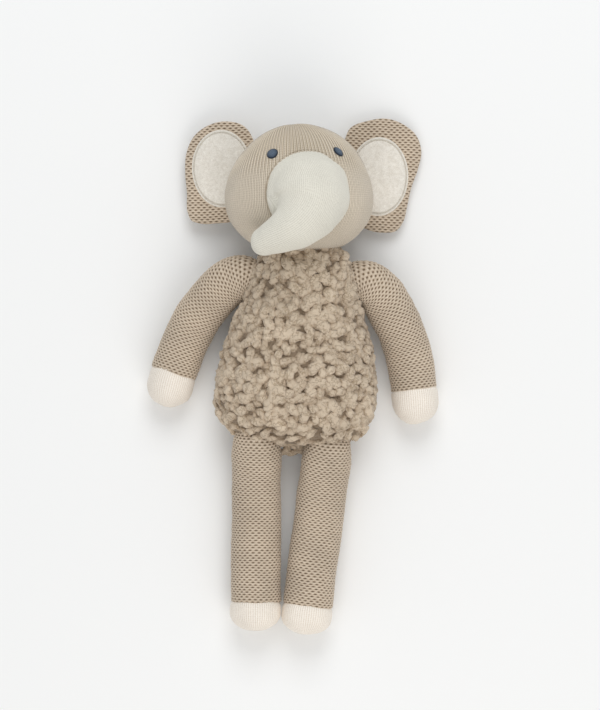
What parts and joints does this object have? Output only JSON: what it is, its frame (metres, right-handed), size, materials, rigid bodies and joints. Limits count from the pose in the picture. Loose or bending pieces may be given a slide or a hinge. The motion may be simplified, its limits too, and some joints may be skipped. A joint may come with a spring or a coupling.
{
  "type": "stuffed elephant toy",
  "caption": "Knitted stuffed elephant lying on its back, with a round head, cream muzzle and trunk, broad ears, looped-pile body and long soft limbs.",
  "frame": {"origin": "centre of the bounding box in X and Y, at the lowest point, with the toy lying on its back", "axes": "+Y from the feet towards the crown, +Z from the back towards the belly, +X towards the toy's left side (the viewer's right)"},
  "size_m": [0.1937, 0.3443, 0.1115],
  "materials": {
    "head_knit": "fine rib and stockinette wool knit, matt",
    "garter_knit": "garter-stitch wool knit, matt",
    "loop_pile": "looped boucle pile, matt",
    "cream_jersey": "fine cream jersey knit, matt",
    "cream_felt": "brushed cream jersey, matt",
    "navy_thread": "satin-stitch embroidery thread",
    "thread": "sewing thread",
    "fibre_fill": "loose polyester fibre fill"
  },
  "bodies": {
    "torso": {"body_cover": "loop_pile", "body_stuffing": "fibre_fill", "hip_seam_left": "thread", "hip_seam_right": "thread", "neck_seam": "thread", "shoulder_seam_left": "thread", "shoulder_seam_right": "thread"},
    "arm_left": {"arm_left_cover": "garter_knit", "arm_left_paw": "cream_jersey", "arm_left_stuffing": "fibre_fill"},
    "arm_right": {"arm_right_cover": "garter_knit", "arm_right_paw": "cream_jersey", "arm_right_stuffing": "fibre_fill"},
    "ear_left": {"ear_left_back": "garter_knit", "ear_left_front": "garter_knit", "ear_left_lining": "cream_felt", "ear_left_stitching": "thread", "ear_left_wadding": "fibre_fill"},
    "ear_right": {"ear_right_back": "garter_knit", "ear_right_front": "garter_knit", "ear_right_lining": "cream_felt", "ear_right_stitching": "thread", "ear_right_wadding": "fibre_fill"},
    "head": {"eye_left": "navy_thread", "eye_right": "navy_thread", "head_cover": "head_knit", "head_stuffing": "fibre_fill", "muzzle_cover": "cream_jersey", "muzzle_seam": "thread", "muzzle_stuffing": "fibre_fill"},
    "leg_left": {"leg_left_cover": "garter_knit", "leg_left_foot": "cream_jersey", "leg_left_stuffing": "fibre_fill"},
    "leg_right": {"leg_right_cover": "garter_knit", "leg_right_foot": "cream_jersey", "leg_right_stuffing": "fibre_fill"},
    "trunk": {"trunk_cover": "cream_jersey", "trunk_stuffing": "fibre_fill"}
  },
  "joints": [
    {"name": "head_nod", "type": "hinge", "parent": "torso", "child": "head", "pos_m": [-0.001, 0.0772, 0.038], "axis": [1, 0, 0], "range_deg": [-20, 25], "stiffness_Nm_per_rad": 0.25},
    {"name": "trunk_curl", "type": "hinge", "parent": "head", "child": "trunk", "pos_m": [-0.00393, 0.11005, 0.09608], "axis": [-0.8099, 0.5745, 0.1181], "range_deg": [-12, 20], "stiffness_Nm_per_rad": 0.06},
    {"name": "ear_left_fold", "type": "hinge", "parent": "head", "child": "ear_left", "pos_m": [-0.0443, 0.1179, 0.0136], "axis": [-0.1045, 0.9945, 0], "range_deg": [-10, 23], "stiffness_Nm_per_rad": 0.02},
    {"name": "ear_right_fold", "type": "hinge", "parent": "head", "child": "ear_right", "pos_m": [0.0315, 0.1259, 0.0064], "axis": [0.0349, -0.9994, 0], "range_deg": [-10, 23], "stiffness_Nm_per_rad": 0.02},
    {"name": "shoulder_left", "type": "hinge", "parent": "torso", "child": "arm_left", "pos_m": [-0.0386, 0.0618, 0.029], "axis": [0.1908, 0.9816, 0], "range_deg": [-30, 50]},
    {"name": "shoulder_right", "type": "hinge", "parent": "torso", "child": "arm_right", "pos_m": [0.0386, 0.0638, 0.029], "axis": [0.1392, -0.9903, 0], "range_deg": [-30, 50]},
    {"name": "hip_left", "type": "hinge", "parent": "torso", "child": "leg_left", "pos_m": [-0.0236, -0.0457, 0.0245], "axis": [-1, 0, 0], "range_deg": [-35, 65]},
    {"name": "hip_right", "type": "hinge", "parent": "torso", "child": "leg_right", "pos_m": [0.0236, -0.0457, 0.0245], "axis": [-1, 0, 0], "range_deg": [-35, 65]}
  ]
}
